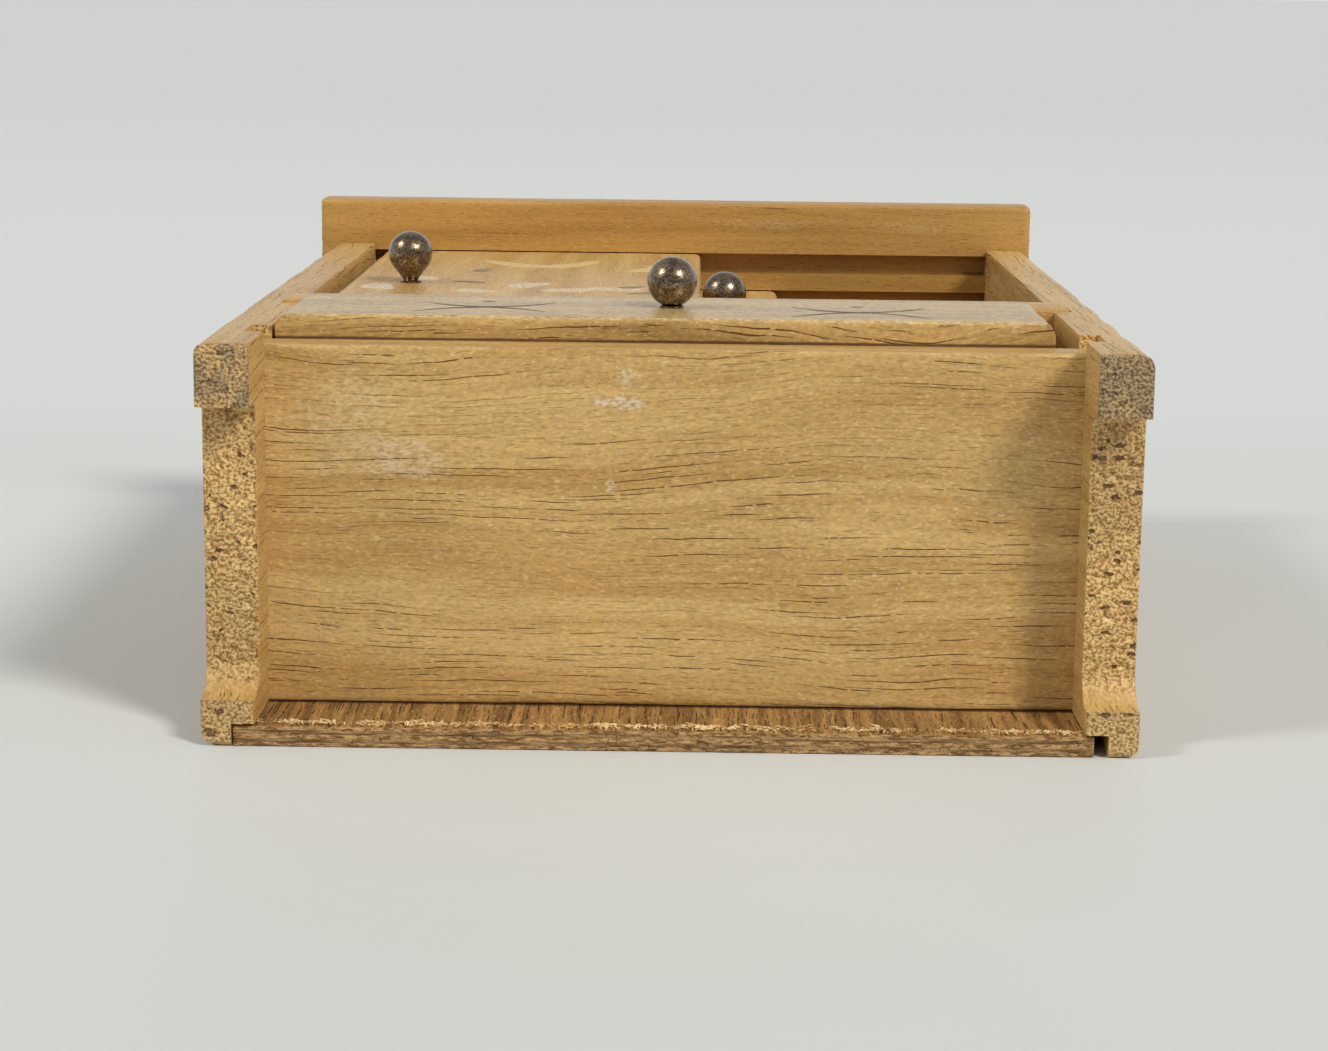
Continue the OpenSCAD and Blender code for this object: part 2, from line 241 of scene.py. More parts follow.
def makeWood(name, changes):
    look = {**plainWood, **changes}
    material, shader, coords = newMaterial(name)
    ownPlace = inMillimetres(coords["Object"])
    shift = (look["seed"] * 61.0, look["seed"] * 17.0, look["seed"] * 29.0)
    place = vectorCalc("ADD", grainFirst(ownPlace, look["grain"]), shift)
    normal = grainFirst(coords["Normal"], look["grain"])

    # fibres that wander slowly, and quiver a little
    drift = sidePush(place, (0.014, 0.028, 0.028), look["wave"] * 2)
    quiver = sidePush(place, (0.16, 0.3, 0.3), look["quiver"])
    fibres = vectorCalc("ADD", vectorCalc("ADD", place, drift), quiver)

    bands = noiseField(fibres, (0.007, look["bandScale"], look["bandScale"]), 3.0, 0.6)
    streak = noiseField(fibres, (0.07, 1.5, 1.5), 3.0, 0.65)
    speckle = noiseField(fibres, (1.3, 3.0, 3.0), 1.0, 0.6)
    grit = noiseField(fibres, (1.1, 3.4, 3.4), 1.0, 0.6)
    patches = noiseField(place, (0.03, 0.05, 0.05))
    pores = dashField(fibres, normal, *look["pores"][:4])
    cracks = dashField(fibres, normal, *look["cracks"][:4])
    broken = fade(noiseField(fibres, (0.9, 0.8, 0.8)), 0.34, 0.45)
    grouped = fade(noiseField(fibres, (0.012, 0.10, 0.10), 1.0), 0.36, 0.48, 0.25, 1.0)
    cracks = times(cracks, times(broken, grouped))

    # the face: bands, streaks and speckles, then the dark strokes
    face = mixTone(fade(bands, 0.34, 0.66), look["dark"], look["light"])
    shade = swing(1.0, streak, 2 * look["streaks"])
    shade = swing(shade, speckle, 2 * look["speckle"])
    shade = swing(shade, patches, look["patches"])
    face = mixTone(1.0, face, shade, "MULTIPLY")
    face = mixTone(fade(grit, 0.60, 0.72, 0.0, look["flecks"]), face, look["fleck"])
    for dashes, kind in ((pores, "pores"), (cracks, "cracks")):
        face = mixTone(times(dashes, look[kind][4]), face, look["pore"])

    # the end grain: mottled, with open pits
    endMask = fade(calc("ABSOLUTE", splitAxes(normal)[0]), 0.50, 0.95)
    mottle = noiseField(place, (0.6, 2.7, 2.4), 2.0, 0.55)
    pitCell = addNode("ShaderNodeTexVoronoi", {
        "Vector": vectorCalc("MULTIPLY", place, (0.12, 0.95, 0.50)), "Scale": 1.0})
    pitLuck = addNode("ShaderNodeSeparateColor", {0: pitCell.outputs["Color"]}).outputs[0]
    pitEdge = swing(pitCell.outputs["Distance"], mottle, 0.5)
    pits = times(fade(pitEdge, 0.37, 0.24), fade(pitLuck, 0.74, 0.77))
    pits = times(pits, look["pits"])
    end = mixTone(fade(mottle, 0.36, 0.62), look["endDark"], look["endLight"])
    end = mixTone(1.0, end, fade(patches, 0.3, 0.7, 0.82, 1.12), "MULTIPLY")
    colour = mixTone(endMask, face, mixTone(pits, end, look["pore"]))

    if look["plies"]:
        bottom, thick = look["plies"]
        layer = calc("SUBTRACT", splitAxes(ownPlace)[2], bottom)
        layer = calc("FLOOR", calc("DIVIDE", layer, thick))
        odd = calc("ABSOLUTE", calc("MODULO", layer, 2.0))
        edge = fade(calc("ABSOLUTE", splitAxes(coords["Normal"])[2]), 0.75, 0.45)
        sliced = noiseField(ownPlace, (0.22, 0.5, 3.2), 4.0, 0.65)
        core = mixTone(fade(sliced, 0.36, 0.64), look["coreDark"], look["coreLight"])
        crushed = noiseField(ownPlace, (0.7, 0.9, 2.6), 3.0, 0.6)
        veneer = mixTone(fade(crushed, 0.36, 0.64), look["dark"], look["plyTone"])
        colour = mixTone(edge, colour, mixTone(odd, veneer, core))
    # scuffs, and patches of painted light (painted sheen, painted shade), each in its own tone
    for centre, size, strength in look["scuffsAndPaintedLight"]:
        mask = scuffAndPaintedLightMask(ownPlace, speckle, centre, size, strength)
        colour = mixTone(mask, colour, look["scuffAndPaintedLightTone"])
    if look["dirtY"] is not None:
        own = splitAxes(ownPlace)
        ground = fade(own[1], look["dirtY"] + 0.55, look["dirtY"] + 0.25)
        grime = fade(noiseField(ownPlace, (0.28, 0.5, 0.22), 3.0, 0.6), 0.32, 0.56, 0.22, 0.95)
        grime = times(grime, fade(own[2], 20.0, 44.0, look["backDirt"], 1.0))
        grey = mixTone(fade(mottle, 0.35, 0.65), look["dirtDark"], look["dirtLight"])
        colour = mixTone(times(ground, grime), colour, grey)
    # painted contact shade: dark lines along where boards meet
    for axis, where, width, strength in look["contactShadeLines"]:
        beside = calc("ABSOLUTE", calc("SUBTRACT", splitAxes(ownPlace)[axis], where))
        beside = swing(beside, streak, width)
        line = fade(beside, width, width * 0.3, 0.0, strength)
        colour = mixTone(line, colour, look["contactShadeTone"])

    coat = 0.0
    if look["coat"]:
        coat = fade(calc("MAXIMUM", pores, cracks), 0.0, 0.8, look["coat"], 0.0)
    dull = swing(look["roughness"], streak, 0.25)
    dull = calc("MULTIPLY_ADD", endMask, 0.25, dull)
    dull = calc("MULTIPLY_ADD", pores, 0.2, dull)

    # heights in mm
    relief = times(streak, 0.05)
    for field, depth in ((speckle, 0.035), (pores, -0.05), (cracks, -0.09)):
        relief = calc("MULTIPLY_ADD", field, depth, relief)
    endRelief = calc("MULTIPLY_ADD", pits, -0.40, times(mottle, 0.34))
    relief = calc("MULTIPLY_ADD", calc("SUBTRACT", endRelief, relief), endMask, relief)
    setInputs(shader, {
        "Base Color": colour, "Roughness": dull, "Specular IOR Level": 0.4, "Coat Weight": coat,
        "Coat Roughness": 0.34, "Normal": bumps(relief, look["bump"])})
    return material


dirtTones = {"dirtDark": tone(94, 72, 44), "dirtLight": tone(176, 150, 108), "backDirt": 0.35}
sideWood = makeWood("side_wood", {
    "grain": "y", "seed": 1.0, "dirtY": feetY, **dirtTones,
    # painted shade: a dark dot for a nail hole in the front edge, with no hole in the mesh
    "scuffsAndPaintedLight": [((leftLow[0] + 4.1, feetY + 47.6, leftHigh[2]), (0.5, 0.8, 0.6), 1.0)],
    "scuffAndPaintedLightTone": tone(96, 58, 26)})
bottomWood = makeWood("bottom_wood", {
    "grain": "x", "seed": 2.0,
    "scuffAndPaintedLightTone": tone(218, 206, 184),
    "scuffsAndPaintedLight": [((middleX - 6.8, floorLow[1], 40.3), (4.2, 1.0, 0.9), 0.80),
               ((middleX - 5.9, floorLow[1], 43.6), (1.6, 1.0, 1.3), 0.38),
               ((middleX - 7.6, floorLow[1], 30.0), (0.8, 1.0, 0.8), 0.60),
               ((middleX - 33.0, floorLow[1], 33.0), (6.5, 1.0, 2.6), 0.34),
               ((middleX - 39.0, floorLow[1], 38.0), (7.0, 1.0, 6.5), 0.16)]})
shelfWood = makeWood("shelf_wood", {"grain": "x", "seed": 3.0})
topWood = makeWood("top_wood", {
    "grain": "x", "seed": 4.5, "dark": tone(170, 125, 57), "light": tone(193, 147, 74),
    "cracks": (6.5, 2.6, 0.14, 0.15, 0.4), "pores": (1.3, 0.7, 0.10, 0.4, 0.35), "wave": 2.0,
    "streaks": 0.12, "speckle": 0.2, "flecks": 0.15, "pits": 0.35, "scuffAndPaintedLightTone": tone(206, 184, 142),
    "scuffsAndPaintedLight": [((middleX + 14.0, topLow[1], 52.4), (9.0, 1.0, 0.9), 0.30),
               ((middleX + 38.0, topLow[1], 52.0), (7.0, 1.0, 0.8), 0.25)]})
rearKnob = sum(boxOf("right_door_knob")) / 2
rearFace = doorBoxes["right_door"][1][2]
doorWood = makeWood("door_wood", {
    "grain": "y", "seed": 5.0, "dark": tone(186, 144, 80), "light": tone(208, 170, 106),
    "cracks": (6.0, 3.0, 0.12, 0.2, 0.5),
    # a pale patch on the rear door, to the right of its knob
    "scuffsAndPaintedLight": [((rearKnob[0] + 5.8, rearKnob[1] + 3.0, rearFace), (2.2, 8.0, 1.0), 0.8)]})
faceMid = (faceLow[1] + faceHigh[1]) / 2
drawerWood = makeWood("drawer_wood", {
    "grain": "x", "seed": 6.0, "cracks": (12.0, 0.8, 0.16, 0.85, 0.95), "coat": 0.9, "wave": 8.0,
    "dark": tone(162, 124, 60), "light": tone(198, 160, 90), "streaks": 0.34,
    # painted contact shade: a dark line where the drawer front meets the bottom board
    "contactShadeLines": [(2, floorHigh[2] + 0.05, 0.34, 0.9)], "contactShadeTone": tone(84, 48, 16),
    # painted sheen: a pale film over the drawer's top face stands in for the pale sheen it shows at a low
    # angle
    "scuffAndPaintedLightTone": tone(232, 210, 158),
    "scuffsAndPaintedLight": [((middleX, faceMid, faceHigh[2]), (80.0, 40.0, 0.35), 0.44)]})
boxWood = makeWood("drawer_box_wood", {"grain": "z", "seed": 7.0, "light": tone(198, 162, 104)})
boxBackWood = makeWood("drawer_back_wood", {"grain": "x", "seed": 8.0, "light": tone(198, 162, 104)})
pegWood = makeWood("peg_wood", {"grain": "y", "seed": 9.0, "dark": tone(150, 106, 58),
                                "light": tone(186, 142, 88)})
plyLook = {"dark": tone(116, 80, 38), "light": tone(168, 126, 70), "pore": tone(42, 24, 10),
           "bandScale": 0.8, "streaks": 0.40, "wave": 1.5, "plyTone": tone(196, 156, 102),
           "coreDark": tone(104, 70, 36), "coreLight": tone(176, 142, 94),
           "pores": (2.6, 0.55, 0.15, 0.75, 0.75), "cracks": (6.0, 1.1, 0.26, 0.6, 0.9),
           "roughness": 0.6, "coat": 0.0, "flecks": 0.25}
panelPly = makeWood("panel_plywood", {
    # painted contact shade: a dark line on the back panel along the foot of the bottom board
    **plyLook, "grain": "y", "seed": 10.0, "contactShadeTone": tone(48, 26, 8),
    "contactShadeLines": [(1, floorLow[1] - 0.1, 0.75, 0.85)], "plies": (0.0, (panelHigh[2] - panelLow[2]) / 5)})
drawerPly = makeWood("drawer_plywood", {**plyLook, "grain": "x", "seed": 11.0})


# Old metal: a tarnished tone with small spots, and a finer shine between them
def makeMetal(name, look):
    material, shader, coords = newMaterial(name)
    place = inMillimetres(coords["Object"])
    cloud = noiseField(place, (0.7, 0.7, 0.7))
    spots = noiseField(place, (look["spotScale"],) * 3, 2.0, 0.6)
    colour = mixTone(fade(cloud, 0.30, 0.70), look["dark"], look["light"])
    spotMask = fade(spots, 0.50, 0.58, 0.0, look["spots"])
    colour = mixTone(spotMask, colour, look["spotTone"])
    bright = fade(spots, 0.40, 0.30, 0.0, look["glints"])
    colour = mixTone(bright, colour, look["glintTone"])
    dull = calc("MULTIPLY_ADD", spotMask, 0.12, look["roughness"])
    dull = calc("MULTIPLY_ADD", cloud, 0.12, dull)
    relief = calc("MULTIPLY_ADD", spotMask, -0.012, times(cloud, 0.02))
    setInputs(shader, {
        "Base Color": colour, "Metallic": look["metallic"], "Roughness": dull,
        "Coat Weight": look["coat"], "Coat Roughness": 0.17, "Normal": bumps(relief, 0.4)})
    return material


knobMetal = makeMetal("knob_metal", {
    "dark": tone(104, 84, 58), "light": tone(154, 134, 104), "spotTone": tone(48, 30, 16),
    "glintTone": tone(212, 202, 184), "spots": 0.85, "glints": 0.6, "spotScale": 3.9,
    "metallic": 0.96, "roughness": 0.20, "coat": 0.9})
pinMetal = makeMetal("pin_metal", {
    "dark": tone(110, 104, 98), "light": tone(150, 145, 138), "spotTone": tone(96, 58, 34),
    "glintTone": tone(200, 196, 190), "spots": 0.8, "glints": 0.3, "spotScale": 2.5,
    "metallic": 0.9, "roughness": 0.32, "coat": 0.0})


# Thin old paint, rubbed through in places to the wood
def makePaint(name, paintTone, woodTone, worn):
    material, shader, coords = newMaterial(name)
    rub = noiseField(inMillimetres(coords["Object"]), (2.4, 2.4, 2.4), 3.0, 0.65)
    colour = mixTone(fade(rub, 0.62 - worn, 0.72 - worn), paintTone, woodTone)
    setInputs(shader, {
        "Base Color": colour, "Roughness": fade(rub, 0.3, 0.7, 0.42, 0.62),
        "Normal": bumps(rub, 0.6, 0.02 * mm)})
    return material


bareWood = tone(192, 156, 98)
paints = {  # tone, and how much of it is rubbed off
    "gold": makePaint("paint_gold", tone(222, 190, 126), bareWood, 0.10),
    "white": makePaint("paint_white", tone(222, 208, 180), bareWood, 0.15),
    "blue": makePaint("paint_blue", tone(118, 114, 98), bareWood, 0.08),
    "ink": makePaint("ink_line", tone(78, 70, 58), bareWood, 0.06),
}
print("materials made:", len(bpy.data.materials))


# Boards are a fine grid skin, cut for their mates, then softened and worn. These are the grid
# lines along one axis: close together near the ends and the marks, wider between
def gridLines(low, high, marks, fine, coarse, reach):
    stops = sorted({low, high, *[m for m in marks if low < m < high]})
    lines = [low]
    for start, end in zip(stops, stops[1:]):
        zone = min(reach, (end - start) / 2)
        between = end - start - 2 * zone
        fineCount = max(1, round(zone / fine))
        coarseCount = math.ceil(between / coarse - 1e-6)
        for begin, span, count in ((start, zone, fineCount), (start + zone, between, coarseCount),
                                   (end - zone, zone, fineCount)):
            lines += [begin + span * i / count for i in range(1, count + 1)]
    return np.array(lines)


# The skin of a board on that grid, without the cells whose middles lie in a cut
def gridSkin(lines, cuts):
    mids = [(line[1:] + line[:-1]) / 2 for line in lines]
    solid = np.ones([len(m) for m in mids], bool)
    for cutLow, cutHigh in cuts:
        inX, inY, inZ = [(m > cutLow[k]) & (m < cutHigh[k]) for k, m in enumerate(mids)]
        solid &= ~(inX[:, None, None] & inY[None, :, None] & inZ[None, None, :])
    padded = np.pad(solid, 1)
    quads = []
    for axis in range(3):
        first, second = (axis + 1) % 3, (axis + 2) % 3
        for side in (0, 1):
            beside = np.roll(padded, 1 - 2 * side, axis)[1:-1, 1:-1, 1:-1]
            cells = np.argwhere(solid & ~beside)
            cells[:, axis] += side
            corners = []
            for alongFirst, alongSecond in ((0, 0), (1, 0), (1, 1), (0, 1)):
                corner = cells.copy()
                corner[:, first] += alongFirst
                corner[:, second] += alongSecond
                corners.append(corner)
            quads.append(np.stack(corners if side else corners[::-1], 1))
    quads = np.concatenate(quads)
    keys, index = np.unique(quads.reshape(-1, 3), axis=0, return_inverse=True)
    places = np.stack([lines[k][keys[:, k]] for k in range(3)], 1)
    return places, index.reshape(-1, 4)


def noiseAt(places, scale, seed):
    return np.array([noise.noise(Vector(p) * scale + Vector((seed, seed * 0.7, -seed))) for p in places])


# Rounds the edge where the sides signA of axis a and signB of axis b meet
def roundEdge(places, low, high, a, signA, b, signB, radius):
    cornerA = high[a] if signA > 0 else low[a]
    cornerB = high[b] if signB > 0 else low[b]
    overA = (places[:, a] - cornerA) * signA + radius
    overB = (places[:, b] - cornerB) * signB + radius
    inside = (overA > 0) & (overB > 0)
    away = np.hypot(overA, overB)
    pull = np.where(inside, np.maximum(overA, overB) / np.where(inside, away, 1.0), 1.0)
    places[:, a] = np.where(inside, cornerA + signA * (overA * pull - radius), places[:, a])
    places[:, b] = np.where(inside, cornerB + signB * (overB * pull - radius), places[:, b])


# Height of the arch under a side, at a distance z from its back edge
def archHeight(z, arch):
    backEnd = arch["start"] + arch["backRound"]
    frontEnd = arch["end"] - arch["frontRound"]
    height = np.where((z > arch["start"]) & (z < arch["end"]), arch["rise"], 0.0)
    atBack = (z > arch["start"]) & (z < backEnd)
    atFront = (z < arch["end"]) & (z > frontEnd)
    ends = ((atBack, arch["backRound"], backEnd - z), (atFront, arch["frontRound"], z - frontEnd))
    for here, radius, run in ends:
        fall = radius - np.sqrt(np.maximum(radius ** 2 - run ** 2, 0.0))
        height = height - np.where(here, fall, 0.0)
    return height


plainBoard = {
    "cuts": [],
    "marks": {},  # more places for close grid lines, by axis
    "grid": [(0.5, 1.4, 1.6)] * 3,  # close spacing, wide spacing, reach of the close lines
    "round": 0.35,  # softness of the edges
    "rounds": {},  # other radii, by (axis, sign, axis, sign)
    "sink": 0.035,  # how deep the flat faces are worn
    "endWear": 0.10,
    "grain": 0,
    "arch": None,
    "bores": [],  # round holes along Y: (x, z, radius)
    "dimples": [],  # brads sunk in a face: (centre, radius, depth)
    "seed": 1.0,
}


def makeBoard(node, body, material, changes):
    spec = {**plainBoard, **changes}
    low, high = boxOf(node)
    cuts = list(spec["cuts"])
    for x, z, radius in spec["bores"]:
        cuts.append(((x - radius, low[1] - 1, z - radius), (x + radius, high[1] + 1, z + radius)))
    lines = []
    for axis in range(3):
        marks = {corner[axis] for cut in cuts for corner in cut} | set(spec["marks"].get(axis, ()))
        lines.append(gridLines(low[axis], high[axis], marks, *spec["grid"][axis]))
    places, quads = gridSkin(lines, cuts)

    # square holes pulled round, less and less out to twice their size
    for x, z, radius in spec["bores"]:
        offX, offZ = places[:, 0] - x, places[:, 2] - z
        square = np.maximum(np.abs(offX), np.abs(offZ))
        share = np.clip(2 - square / radius, 0, 1) * (square > 0)
        pull = 1 + share * (square / np.maximum(np.hypot(offX, offZ), 1e-9) - 1)
        places[:, 0] = x + offX * pull
        places[:, 2] = z + offZ * pull

    wobble = 1 + 0.28 * noiseAt(places, 0.11, spec["seed"]) + 0.18 * noiseAt(places, 0.55, spec["seed"] + 9)
    for a, b in ((0, 2), (1, 2), (0, 1)):
        for signA in (-1, 1):
            for signB in (-1, 1):
                radius = spec["rounds"].get((a, signA, b, signB), spec["round"])
                roundEdge(places, low, high, a, signA, b, signB, radius * wobble)
    if spec["arch"]:
        arch = spec["arch"]
        share = np.clip(1 - (places[:, 1] - low[1]) / arch["zone"], 0, 1)
        lift = archHeight(places[:, 2] - low[2], arch)
        places[:, 1] += lift * share

    mesh = bpy.data.meshes.new(node + "_wood")
    mesh.from_pydata((places * mm).tolist(), [], quads.tolist())
    mesh.update()
    normals = np.zeros(len(places) * 3, np.float32)
    mesh.vertex_normals.foreach_get("vector", normals)
    normals = normals.reshape(-1, 3)
    sunk = spec["sink"] * (0.5 + 0.5 * noiseAt(places, 0.13, spec["seed"] + 3))
    sawn = np.clip(np.abs(normals[:, spec["grain"]]) * 2 - 0.8, 0, 1)
    sunk += sawn * spec["endWear"] * np.abs(noiseAt(places, 0.9, spec["seed"] + 5))
    if spec["arch"]:
        torn = np.clip(np.abs(normals[:, 1]) * 6 - 4.9, 0, 1) * (lift > 0.3) * (share > 0.9)
        sunk += torn * arch["pits"] * np.clip(noiseAt(places, 1.15, spec["seed"] + 6) * 2.2 + 0.1, 0, 1)
        sunk += torn * arch["pits"] * 0.6 * np.abs(noiseAt(places, 2.6, spec["seed"] + 7))
    for centre, radius, depth in spec["dimples"]:
        away = np.linalg.norm(places - np.array(centre), axis=1) / radius
        sunk += depth * np.clip(1 - away ** 2, 0, 1)
    places -= normals * sunk[:, None]
    mesh.vertices.foreach_set("co", (places * mm).astype(np.float32).ravel())
    mesh.update()
    mesh.shade_smooth()
    mesh.set_sharp_from_angle(angle=math.radians(40))
    mesh.materials.append(material)
    piece = addObject(node + "_wood", mesh)
    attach(piece, body)
    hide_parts(node)


far = 1000.0  # past every board
room = {  # play round what sits in a cut
    "panelSide": 0.1,
    "panelFront": 0.2,
    "doorFaces": 0.15,
    "doorTop": 0.5,
    "doorFoot": 0.2,
}


# What the bottom board, the shelf and the back take out of a side; deep points into the cabinet
def sideCuts(housed, rebateX, deep):
    xs = sorted((housed, housed + deep * far))
    cuts = [((xs[0], low[1], -far), (xs[1], high[1], far))
            for low, high in ((floorLow, floorHigh), (shelfLow, shelfHigh))]
    xs = sorted((rebateX, rebateX + deep * far))
    return cuts + [((xs[0], -far, -far), (xs[1], far, panelHigh[2] + room["panelFront"]))]


footArch = {
    "start": 5.7,  # length of the back foot
    "end": 40.9,  # where the front foot starts
    "rise": 5.2,
    "backRound": 4.2,
    "frontRound": 1.6,
    "zone": floorLow[1] - feetY - 0.3,  # the wood that is shaped, up to the bottom board
    "pits": 0.42,  # depth of the torn pits
}
# close grid lines where each foot ends
archMarks = [footArch["start"], footArch["start"] + 0.25, footArch["end"] - 0.25, footArch["end"]]
rebateX = panelLow[0] - room["panelSide"]
sideLook = {
    "marks": {2: archMarks}, "grid": [(0.36, 0.45, 1.6), (0.4, 1.8, 2.0), (0.36, 0.42, 1.6)],
    "grain": 1, "arch": footArch, "round": 0.3}
footRounds = {(1, -1, 2, 1): 0.6, (1, -1, 2, -1): 0.9}
makeBoard("left_side", "cabinet", sideWood, {
    **sideLook, "seed": 2.0, "cuts": sideCuts(floorLow[0], rebateX, 1),
    "rounds": {(0, -1, 2, -1): 2.3, (0, -1, 2, 1): 1.4, (0, -1, 1, -1): 0.45, **footRounds}})
makeBoard("right_side", "cabinet", sideWood, {
    **sideLook, "seed": 5.0, "cuts": sideCuts(floorHigh[0], 2 * middleX - rebateX, -1),
    "rounds": {(0, 1, 2, -1): 1.8, (0, 1, 2, 1): 2.0, (0, 1, 1, -1): 0.45, **footRounds}})

# the doors' grooves, in the top board and in the shelf
doorLow, doorHigh = doorBoxes["left_door"]
topCuts, shelfCuts = [], []
for low, high in doorBoxes.values():
    z = low[2] - room["doorFaces"], high[2] + room["doorFaces"]
    topCuts.append(((leftHigh[0], -far, z[0]), (rightLow[0], doorHigh[1] + room["doorTop"], z[1])))
    shelfCuts.append(((leftHigh[0], doorLow[1] - room["doorFoot"], z[0]), (rightLow[0], far, z[1])))


# The lowest and the highest corner of each loose part of a CAD node's mesh
def looseParts(node):
    skin = bmesh.new()
    skin.from_mesh(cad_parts[node].data)
    bmesh.ops.remove_doubles(skin, verts=skin.verts, dist=0.001 * mm)
    found, seen = [], set()
    for start in skin.verts:
        if start in seen:
            continue
        island, edge = {start}, [start]
        while edge:
            near = edge.pop()
            for link in near.link_edges:
                other = link.other_vert(near)
                if other not in island:
                    island.add(other)
                    edge.append(other)
        seen |= island
        corners = np.array([v.co for v in island]) / mm
        found.append((corners.min(0), corners.max(0)))
    skin.free()
    return found


topBrads = looseParts("top_board_brads")
panelBrads = looseParts("back_panel_brads")
wallBrads = looseParts("drawer_brads")
bradHeads = {
    "top": [((low[0] + high[0]) / 2, high[1], (low[2] + high[2]) / 2) for low, high in topBrads],
    "panel": [((low[0] + high[0]) / 2, (low[1] + high[1]) / 2, low[2]) for low, high in panelBrads],
    "wall": [(low[0] if low[0] < middleX else high[0], (low[1] + high[1]) / 2, (low[2] + high[2]) / 2)
             for low, high in wallBrads],
}
dimpleLook = (1.5, 0.30)  # radius and depth round a sunk head


def bradDimples(group):
    return [(head, *dimpleLook) for head in bradHeads[group]]


# Close grid lines through the heads, along two axes
def bradMarks(group, *axes):
    return {axis: sorted({round(head[axis], 3) for head in bradHeads[group]}) for axis in axes}


makeBoard("top_board", "cabinet", topWood, {
    "cuts": topCuts, "round": 0.7, "seed": 7.0, "endWear": 0.16,
    "marks": {0: [head[0] for head in bradHeads["top"]], 2: sorted({h[2] for h in bradHeads["top"]})},
    "dimples": bradDimples("top")})
makeBoard("bottom_board", "cabinet", bottomWood, {
    "round": 0.45, "seed": 11.0, "grid": [(0.5, 1.2, 1.6), (0.4, 1.0, 1.4), (0.4, 1.0, 1.6)]})
pegX, pegZ = (pegLow[0] + pegHigh[0]) / 2, (pegLow[2] + pegHigh[2]) / 2
pegBore = 1.56  # radius
makeBoard("middle_shelf", "cabinet", shelfWood, {
    "cuts": shelfCuts, "round": 0.5, "seed": 13.0, "bores": [(pegX, pegZ, pegBore)],
    "rounds": {(0, 1, 2, 1): 1.2, (0, -1, 2, 1): 0.8}})
makeBoard("back_panel", "cabinet", panelPly, {
    "round": 0.25, "seed": 17.0, "sink": 0.03, "endWear": 0.3, "grain": 1,
    "grid": [(0.5, 1.1, 1.6), (0.3, 1.6, 2.0), (0.26, 0.26, 1.4)],
    "marks": bradMarks("panel", 0, 1), "dimples": bradDimples("panel")})
for node, seed in (("left_door", 19.0), ("right_door", 23.0)):
    makeBoard(node, node, doorWood, {
        "round": 0.3, "seed": seed, "grain": 1,
        "rounds": {(0, s, 2, t): 1.1 for s in (-1, 1) for t in (-1, 1)}})
(leftWall, leftEnd), (rightWall, rightEnd) = boxOf("drawer_left_side"), boxOf("drawer_right_side")
wallCuts = [((-far, leftWall[1], -far), tuple(leftEnd)),
            ((rightWall[0], rightWall[1], -far), (far, rightEnd[1], rightEnd[2]))]
makeBoard("drawer_front", "drawer", drawerWood, {
    "cuts": wallCuts, "round": 0.35, "seed": 29.0,
    "rounds": {(0, -1, 2, 1): 1.9, (0, 1, 2, 1): 1.9, (1, -1, 2, 1): 0.55, (1, 1, 2, 1): 0.55},
    "grid": [(0.4, 1.1, 2.4), (0.4, 1.2, 1.6), (0.4, 1.0, 2.2)]})
for node, seed in (("drawer_left_side", 31.0), ("drawer_right_side", 37.0)):
    makeBoard(node, "drawer", boxWood, {
        "grain": 2, "seed": seed, "marks": bradMarks("wall", 1, 2), "dimples": bradDimples("wall")})
makeBoard("drawer_back", "drawer", boxBackWood, {"seed": 41.0})
makeBoard("drawer_bottom", "drawer", drawerPly, {"seed": 43.0, "round": 0.2})
print("boards made")


# A closed turned shape from (radius, height) steps, standing along Z or Y at its base
def turnedPiece(name, profile, base, axis, segments=56):
    profile = np.array(profile)
    angles = np.arange(segments) * 2 * math.pi / segments
    rings = np.stack([np.outer(profile[:, 0], np.cos(angles)), np.outer(profile[:, 0], np.sin(angles)),
                      np.repeat(profile[:, 1:], segments, 1)], -1).reshape(-1, 3)
    if axis == "y":
        rings = rings[:, [1, 2, 0]]
    spots = [(step, (step + 1) % segments) for step in range(segments)]
    faces = [(row + here, row + beside, row + segments + beside, row + segments + here)
             for row in range(0, segments * (len(profile) - 1), segments) for here, beside in spots]
    mesh = bpy.data.meshes.new(name)
    mesh.from_pydata(((rings + base) * mm).tolist(), [], faces)
    skin = bmesh.new()
    skin.from_mesh(mesh)
    bmesh.ops.remove_doubles(skin, verts=skin.verts, dist=0.0005 * mm)
    bmesh.ops.recalc_face_normals(skin, faces=skin.faces)
    skin.to_mesh(mesh)
    skin.free()
    mesh.shade_smooth()
    mesh.set_sharp_from_angle(angle=math.radians(50))
    return addObject(name, mesh)


knobLook = {
    "ball": 3.175,  # radius of the ball
    "neck": 1.05,
    "collar": 1.55,  # rim of the little collar on the wood
    "collarHeight": 0.30,
    "meet": 40.0,  # degrees under the ball's middle where the taper leaves it
    "dents": 0.03,
}


# Outline of a knob whose ball's centre is h above the wood: collar, neck, taper and ball
def knobProfile(h, look):
    ball, neck = look["ball"], look["neck"]
    steps = [(0.0, 0.0), (look["collar"] - 0.1, 0.0), (look["collar"], 0.09),
             (look["collar"], look["collarHeight"] - 0.1), (look["collar"] - 0.12, look["collarHeight"])]
    meet = math.radians(look["meet"])
    meetR, meetY = ball * math.cos(meet), h - ball * math.sin(meet)
    for y in np.linspace(look["collarHeight"] + 0.02, meetY, 12):
        share = (y - look["collarHeight"]) / (meetY - look["collarHeight"])
        under = math.sqrt(max(ball ** 2 - (h - y) ** 2, 0.0))
        steps.append((max(neck + (meetR - neck) * share ** 1.15, under), y))
    for angle in np.linspace(-meet, math.pi / 2, 34)[1:]:
        steps.append((max(ball * math.cos(angle), 0.0), h + ball * math.sin(angle)))
    return steps


